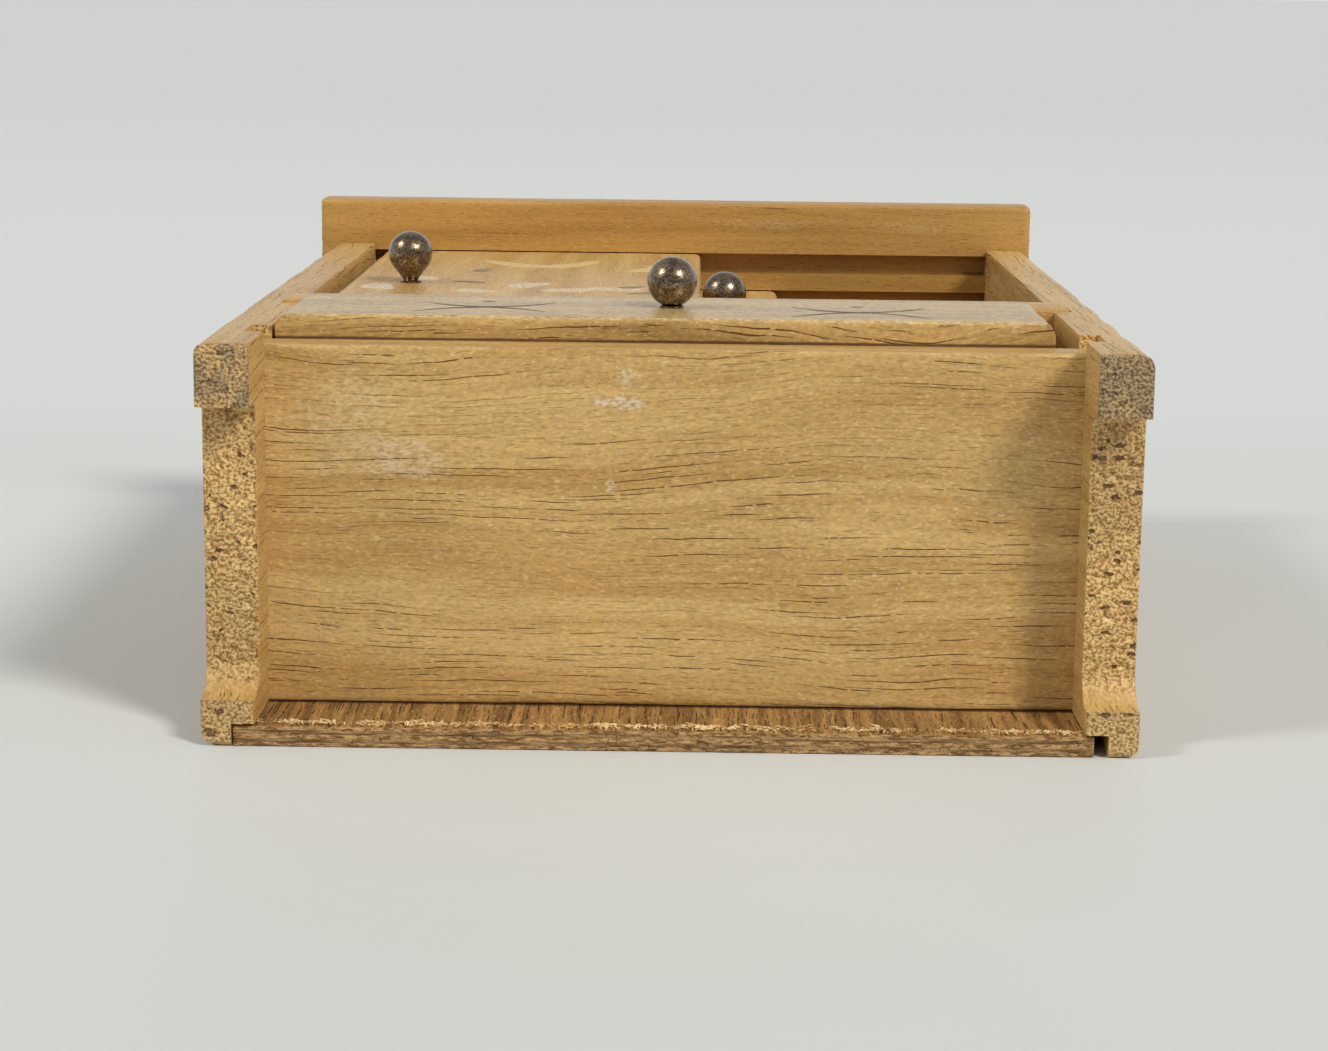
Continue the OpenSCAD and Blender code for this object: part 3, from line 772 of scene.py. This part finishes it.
for node, body in (("left_door_knob", "left_door"), ("right_door_knob", "right_door"),
                   ("drawer_knob", "drawer")):
    low, high = boxOf(node)
    centre = (low + high) / 2
    knob = turnedPiece(node + "_turned", knobProfile(high[2] - low[2] - knobLook["ball"], knobLook),
                       np.array((centre[0], centre[1], low[2])), "z")
    for vertex in knob.data.vertices:
        dent = noise.noise(Vector(vertex.co) / mm * 0.6 + Vector((centre[0], 0, 0)))
        vertex.co -= vertex.normal * (knobLook["dents"] * max(dent, 0.0) * mm)
    knob.data.materials.append(knobMetal)
    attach(knob, body)
    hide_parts(node)

for node in ("left_door_knob_pin", "right_door_knob_pin", "drawer_knob_pin"):
    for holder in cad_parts[node].material_slots:
        holder.material = pinMetal

# the peg: a rod with a worn tip, and a domed head with a flat underside that stops it
pegLook = {
    "rod": 1.48,  # radius
    "tip": [(0.0, 0.0), (1.0, 0.02), (1.35, 0.2), (1.48, 0.55)],
    "waver": 0.02,
    "head": 1.98,  # height of the head
    "rim": 1.75,  # the same, at the edge of its underside
    "dome": 1.1,  # how much of it is domed
}
pegLong = pegHigh[1] - pegLow[1]
headR = (pegHigh[0] - pegLow[0]) / 2
rimR = headR - pegLook["waver"]
underHead, domeFoot = pegLong - pegLook["head"], pegLong - pegLook["dome"]
pegSteps = pegLook["tip"] + [(pegLook["rod"] - pegLook["waver"] * math.sin(y * 1.9), y)
                             for y in np.linspace(1.2, underHead, 14)]
pegSteps += [(headR - 0.25, underHead), (rimR, pegLong - pegLook["rim"]), (rimR, domeFoot)]
pegSteps += [(rimR * math.cos(a), domeFoot + (pegLook["dome"] - pegLook["waver"]) * math.sin(a))
             for a in np.linspace(0.15, math.pi / 2, 10)]
peg = turnedPiece("lock_peg_turned", pegSteps, np.array((pegX, pegLow[1], pegZ)), "y", 40)
peg.data.materials.append(pegWood)
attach(peg, "lock_peg")
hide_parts("lock_peg")
print("knobs and peg made")


# Geometry trees make what repeats and what follows a path. Each starts with a geometry input
# and output, and named inputs for its sizes
def newTree(name, inputs):
    global tree
    tree = bpy.data.node_groups.new(name, "GeometryNodeTree")
    tree.interface.new_socket("Geometry", in_out="INPUT", socket_type="NodeSocketGeometry")
    for label, kind in inputs.items():
        tree.interface.new_socket(label, in_out="INPUT", socket_type="NodeSocket" + kind)
    tree.interface.new_socket("Geometry", in_out="OUTPUT", socket_type="NodeSocketGeometry")
    return tree.nodes.new("NodeGroupInput").outputs


# Ends a tree: instances made real, then the finish
def closeTree(given, geometry):
    real = addNode("GeometryNodeRealizeInstances", {0: geometry}).outputs[0]
    done = addNode("GeometryNodeSetMaterial", {0: real, 2: given["Material"]}).outputs[0]
    addNode("NodeGroupOutput", {0: done})
    return tree


# Runs a tree on an object and keeps the result as one plain mesh
def bakeTree(name, source, group, values):
    modifier = source.modifiers.new("build", "NODES")
    modifier.node_group = group
    for item in group.interface.items_tree:
        if item.in_out == "INPUT" and item.name in values:
            modifier[item.identifier] = values[item.name]
    evaluated = source.evaluated_get(bpy.context.evaluated_depsgraph_get())
    mesh = bpy.data.meshes.new_from_object(evaluated)
    source.modifiers.remove(modifier)
    bpy.data.objects.remove(source)
    mesh.name = name
    return addObject(name, mesh)


# Brads: a shank with a point and a chamfered head, set on points that say where each is aimed
def bradTree():
    given = newTree("brads", {"Length": "Float", "Shank": "Float", "Head": "Float", "Rim": "Float",
                              "Lean": "Float", "Seed": "Int", "Material": "Material"})
    tipLong = times(given["Shank"], 2.5)
    shankLong = calc("SUBTRACT", given["Length"], tipLong)
    tip = addNode("GeometryNodeMeshCone", {
        "Vertices": 10, "Radius Top": given["Shank"],
        "Radius Bottom": times(given["Shank"], 0.25), "Depth": tipLong}).outputs["Mesh"]
    shank = addNode("GeometryNodeMeshCylinder", {
        "Vertices": 10, "Radius": given["Shank"], "Depth": shankLong}).outputs["Mesh"]
    head = addNode("GeometryNodeMeshCylinder", {
        "Vertices": 20, "Radius": given["Head"], "Depth": given["Rim"]}).outputs["Mesh"]
    crown = addNode("GeometryNodeMeshCone", {
        "Vertices": 20, "Radius Bottom": given["Head"], "Radius Top": times(given["Head"], 0.72),
        "Depth": times(given["Rim"], 0.4)}).outputs["Mesh"]

    # everything hangs below the head, which is at the point
    join = addNode("GeometryNodeJoinGeometry")
    half = times(shankLong, -0.5)
    for part, height in ((tip, times(given["Length"], -1.0)),
                         (shank, calc("SUBTRACT", half, given["Rim"])),
                         (head, times(given["Rim"], -0.9)),
                         (crown, times(given["Rim"], -0.4))):
        sockets = {0: part, "Translation": joinAxes(0.0, 0.0, height)}
        tree.links.new(addNode("GeometryNodeTransform", sockets).outputs[0], join.inputs[0])

    aim = addNode("GeometryNodeInputNamedAttribute", {"Name": "aim"},
                  data_type="FLOAT_VECTOR").outputs[0]
    lean = addNode("FunctionNodeRandomValue", {
        "Min": (-1.0, -1.0, -1.0), "Max": (1.0, 1.0, 1.0), "Seed": given["Seed"]},
        data_type="FLOAT_VECTOR").outputs[0]
    aimed = vectorCalc("ADD", aim, vectorCalc("MULTIPLY", lean, given["Lean"]))
    turn = addNode("FunctionNodeAlignRotationToVector", {"Vector": aimed}, axis="Z").outputs[0]
    placed = addNode("GeometryNodeInstanceOnPoints", {
        "Points": given["Geometry"], "Instance": join.outputs[0], "Rotation": turn}).outputs[0]
    return closeTree(given, placed)


# A mesh of loose points with the direction that each brad's head looks in
def aimedPoints(name, places, aims):
    mesh = bpy.data.meshes.new(name)
    mesh.from_pydata([tuple(np.array(p) * mm) for p in places], [], [])
    attribute = mesh.attributes.new("aim", "FLOAT_VECTOR", "POINT")
    attribute.data.foreach_set("vector", np.array(aims, float).ravel())
    return addObject(name, mesh)


brads = bradTree()
bradLook = {"Shank": 0.38 * mm, "Head": 0.65 * mm, "Rim": 0.22 * mm, "Lean": 0.03, "Material": pinMetal}
bradSunk = 0.12  # how deep the heads are driven in
bradRows = [  # where each head looks, the brads' length and the seed
    ("back_panel_brads", "cabinet", "panel", [(0, 0, -1)] * len(panelBrads), 7.8, 3),
    ("top_board_brads", "cabinet", "top", [(0, 1, 0)] * len(topBrads), 12.7, 4),
    ("drawer_brads", "drawer", "wall",
     [(-1 if head[0] < middleX else 1, 0, 0) for head in bradHeads["wall"]], 7.7, 5),
]
for node, body, group, aims, long, seed in bradRows:
    sunkHeads = [np.array(head) - np.array(aim) * bradSunk for head, aim in zip(bradHeads[group], aims)]
    piece = bakeTree(node + "_steel", aimedPoints(node + "_points", sunkHeads, aims), brads,
                     {**bradLook, "Length": long * mm, "Seed": seed})
    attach(piece, body)
    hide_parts(node)


# Painted strokes: a curve widened into a thin, flat, tapering ribbon
def strokeTree():
    given = newTree("strokes", {"Width": "Float", "Thickness": "Float", "Material": "Material"})
    along = addNode("GeometryNodeSplineParameter").outputs["Factor"]
    swell = calc("SINE", times(along, math.pi))
    swell = calc("MAXIMUM", calc("POWER", calc("MAXIMUM", swell, 0.0), 0.5), 0.12)
    fine = addNode("GeometryNodeResampleCurve", {"Curve": given["Geometry"], "Length": 0.4 * mm},
                   mode="LENGTH").outputs[0]
    flat = addNode("GeometryNodeSetCurveNormal", {0: fine}, mode="Z_UP").outputs[0]
    ring = addNode("GeometryNodeCurvePrimitiveCircle", {"Resolution": 10, "Radius": 1.0}).outputs[0]
    shape = joinAxes(times(given["Width"], 0.5), times(given["Thickness"], 0.5), 1.0)
    squeezed = addNode("GeometryNodeTransform", {0: ring, "Scale": shape}).outputs[0]
    ribbon = addNode("GeometryNodeCurveToMesh", {
        "Curve": flat, "Profile Curve": squeezed, "Scale": swell, "Fill Caps": True}).outputs[0]
    return closeTree(given, ribbon)


# A curve object with one smooth spline through each list of points, on the plane at height z
def strokeCurves(name, strokes, z):
    data = bpy.data.curves.new(name, "CURVE")
    data.dimensions = "3D"
    for points in strokes:
        spline = data.splines.new("NURBS")
        spline.points.add(len(points) - 1)
        for point, (x, y) in zip(spline.points, points):
            point.co = (x * mm, y * mm, z * mm, 1)
        spline.order_u = 3
        spline.use_endpoint_u = True
        spline.resolution_u = 8
    return addObject(name, data)


# Two shallow arcs back to back with a short dash above: the mark on each half of the drawer front
def crossedArcs(x, y, long, bow):
    lower = [(x - long / 2, y + bow), (x, y - bow * 0.9), (x + long / 2, y + bow)]
    upper = [(x - long / 2, y - bow), (x, y + bow * 0.9), (x + long / 2, y - bow)]
    dash = [(x - long * 0.06, y + bow * 1.1), (x, y + bow * 1.15), (x + long * 0.06, y + bow * 1.1)]
    return [lower, upper, dash]


# A bent leaf stroke from a place, in a direction in degrees
def leafStroke(x, y, long, direction, bend):
    angle = math.radians(direction)
    ahead, side = (math.cos(angle), math.sin(angle)), (-math.sin(angle), math.cos(angle))
    return [(x + ahead[0] * long * t + side[0] * bend * 4 * t * (1 - t),
             y + ahead[1] * long * t + side[1] * bend * 4 * t * (1 - t)) for t in (0.0, 0.33, 0.66, 1.0)]


strokes = strokeTree()
sprigX, sprigY = doorLow[0] + 26.0, feetY + 96.0
sprigArc = [(-9, 22), (-3, 12), (6, 13), (9, 23)]
sprigLook = {  # width, then each leaf's place, length, direction and bend
    "gold": (5.2, [(-16, 8, 7, 130, 1.5), (14, 6, 8, 60, -1.6), (17, 12, 6, 25, 1.2),
                   (-19, 15, 5, 160, -1.0)]),
    "white": (5.4, [(-1, -20, 9, 60, 1.6), (2, -22, 8, 20, -1.4), (8, -20, 9, -8, 1.4),
                    (-4, -24, 6, 160, 1.0), (-19, -24, 9, 100, 1.6), (-17, -12, 8, 84, -1.0)]),
    "blue": (2.8, [(-11, -11, 6, -35, 0.9), (12, -22, 9, 50, 0.9), (14, -26, 10, 30, -0.8),
                   (-8, 2, 6, 80, 0.7)]),
}
paintSunk = 0.03  # how deep a stroke's middle lies under the face
for colour, (width, leaves) in sprigLook.items():
    paths = [leafStroke(sprigX + x, sprigY + y, *rest) for x, y, *rest in leaves]
    if colour == "gold":
        paths.insert(0, [(sprigX + x, sprigY + y) for x, y in sprigArc])
    curves = strokeCurves("door_" + colour, paths, doorHigh[2] - paintSunk)
    piece = bakeTree("door_paint_" + colour, curves, strokes,
                     {"Width": width * mm, "Thickness": 0.09 * mm, "Material": paints[colour]})
    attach(piece, "left_door")

inkLook = {
    "places": [(middleX - 24.0, faceMid - 2.2), (middleX + 23.0, faceMid - 3.6)],
    "long": 17.5,
    "bow": 5.8,
    "width": 1.2,
    "sunk": 0.025,  # how deep the line's middle lies under the face
}
marks = sum([crossedArcs(x, y, inkLook["long"], inkLook["bow"]) for x, y in inkLook["places"]], [])
inkCurves = strokeCurves("drawer_ink", marks, faceHigh[2] - inkLook["sunk"])
inkMarks = bakeTree("drawer_ink_marks", inkCurves, strokes,
                    {"Width": inkLook["width"] * mm, "Thickness": 0.08 * mm, "Material": paints["ink"]})
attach(inkMarks, "drawer")


# Torn fibres: small slivers scattered along a line, each leaning its own way
def fringeTree():
    given = newTree("fringe", {"Count": "Int", "Long": "Float", "Thick": "Float", "Spread": "Float",
                               "Seed": "Int", "Material": "Material"})
    points = addNode("GeometryNodeCurveToPoints", {"Curve": given["Geometry"], "Count": given["Count"]},
                     mode="COUNT").outputs["Points"]

    def chance(low, high, step):
        sockets = {0: low, 1: high, "Seed": calc("ADD", given["Seed"], step)}
        return addNode("FunctionNodeRandomValue", sockets, data_type="FLOAT_VECTOR").outputs[0]

    spread = joinAxes(given["Spread"], given["Spread"], times(given["Spread"], 0.35))
    offset = vectorCalc("MULTIPLY", chance((-1.0,) * 3, (1.0,) * 3, 1), spread)
    shifted = addNode("GeometryNodeSetPosition", {"Geometry": points, "Offset": offset})
    sliver = addNode("GeometryNodeMeshCone", {
        "Vertices": 4, "Radius Top": times(given["Thick"], 0.2),
        "Radius Bottom": given["Thick"], "Depth": given["Long"]}).outputs["Mesh"]
    turns = chance((1.1, -1.2, -1.3), (2.0, 1.2, 1.3), 2)
    sizes = chance((0.5, 0.5, 0.25), (1.3, 1.3, 1.3), 3)
    along = inMillimetres(addNode("GeometryNodeInputPosition").outputs[0])
    clump = fade(noiseField(along, (0.33, 0.0, 0.0), 3.0, 0.7), 0.36, 0.62, 0.12, 1.35)
    sizes = addNode("ShaderNodeVectorMath", {0: sizes, "Scale": clump}, operation="SCALE").outputs[0]
    placed = addNode("GeometryNodeInstanceOnPoints", {
        "Points": shifted.outputs[0], "Instance": sliver, "Rotation": turns, "Scale": sizes}).outputs[0]
    return closeTree(given, placed)


fringe = fringeTree()
fibreWood = makeWood("torn_fibres", {"grain": "y", "seed": 12.0, "dark": tone(206, 162, 100),
                                     "light": tone(240, 212, 160), "endDark": tone(186, 140, 84)})
edgeY = panelLow[1] + 1.6  # the slivers lie just in from the edge
edgeLine = [[(panelLow[0] + 1.0, edgeY), (0.0, edgeY), (panelHigh[0] - 1.0, edgeY)]]
fibres = bakeTree("panel_torn_fibres", strokeCurves("panel_edge", edgeLine, panelHigh[2] + 0.10), fringe,
                  {"Count": 1100, "Long": 1.0 * mm, "Thick": 0.20 * mm, "Spread": 0.50 * mm, "Seed": 8,
                   "Material": fibreWood})
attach(fibres, "cabinet")
print("brads, strokes and fibres made")

floorLook = {
    "size": 60.0,  # metres from the middle to each side
    "near": (tone(210, 212, 208), tone(214, 216, 212)),
    # behind and far: painted light, the floor lighter just behind the cabinet and dimmer far off
    "behind": tone(216, 218, 216),
    "far": tone(208, 210, 207),
    "specks": tone(150, 148, 140),
    "roughness": 0.55,
    "specular": 0.25,
}


def makeFloorMaterial(look):
    material, shader, coords = newMaterial("pale_floor")
    depth = splitAxes(coords["Object"])[1]
    clouds = noiseField(coords["Object"], (9.0, 9.0, 9.0))
    grit = noiseField(coords["Object"], (420.0, 420.0, 420.0))
    colour = mixTone(fade(clouds, 0.3, 0.7), *look["near"])
    # painted light: lighter just behind the cabinet, then dimmer far off, for how the studio light falls on
    # the floor
    colour = mixTone(fade(depth, 0.08, 0.26), colour, look["behind"])
    colour = mixTone(fade(depth, 0.4, 2.0), colour, look["far"])
    colour = mixTone(fade(grit, 0.77, 0.82, 0.0, 0.5), colour, look["specks"])
    setInputs(shader, {
        "Base Color": colour, "Roughness": look["roughness"], "Specular IOR Level": look["specular"],
        "Normal": bumps(grit, 0.3, 0.05 * mm)})
    return material


reach = floorLook["size"]
floorMesh = bpy.data.meshes.new("floor")
floorMesh.from_pydata([(-reach, -reach, 0), (reach, -reach, 0), (reach, reach, 0), (-reach, reach, 0)],
                      [], [(0, 1, 2, 3)])
floorMesh.materials.append(makeFloorMaterial(floorLook))
floor = addObject("floor", floorMesh)

lighting = {
    "lamps": {  # direction from the object, strength, softness in degrees
        "left_lamp": ((-0.684, -0.269, 0.679), 0.90, 13),
        "right_lamp": ((0.529, -0.552, 0.643), 2.05, 14),
    },
    "lampTint": (1.0, 0.98, 0.95),
    "roomTint": (0.96, 0.98, 1.0, 1.0),
    "zenith": 0.41,
    "behind": 0.78,  # glow of the room's far side and of its near side
    "front": 0.24,
}
for name, (direction, strength, spread) in lighting["lamps"].items():
    lamp = bpy.data.lights.new(name, "SUN")
    lamp.energy = strength
    lamp.angle = math.radians(spread)
    lamp.color = lighting["lampTint"]
    addObject(name, lamp).rotation_euler = Vector(direction).to_track_quat("Z", "Y").to_euler()

world = bpy.data.worlds.new("studio")
world.use_nodes = True
tree = world.node_tree
sky = splitAxes(addNode("ShaderNodeTexCoord").outputs["Generated"])
low = fade(sky[1], -0.8, 0.8, lighting["front"], lighting["behind"])
glow = fade(sky[2], 0.0, 0.6, low, lighting["zenith"])
setInputs(tree.nodes["Background"], {"Color": lighting["roomTint"], "Strength": glow})
bpy.context.scene.world = world

cameraLook = {
    "place": (0.003004, -0.394490, 0.089510),
    "turn": (79.2167, -0.6398, 0.6594),  # degrees about X, Y and Z
    "lens": 76.365,
}
cameraData = bpy.data.cameras.new("camera")
cameraData.lens = cameraLook["lens"]
cameraData.sensor_width = 36.0
cameraData.clip_start = 0.01
cameraData.clip_end = 200.0
camera = addObject("camera", cameraData)
camera.location = cameraLook["place"]
camera.rotation_euler = Euler([math.radians(a) for a in cameraLook["turn"]])
bpy.context.scene.camera = camera
bpy.context.scene.view_settings.view_transform = "Standard"
print("stage set")
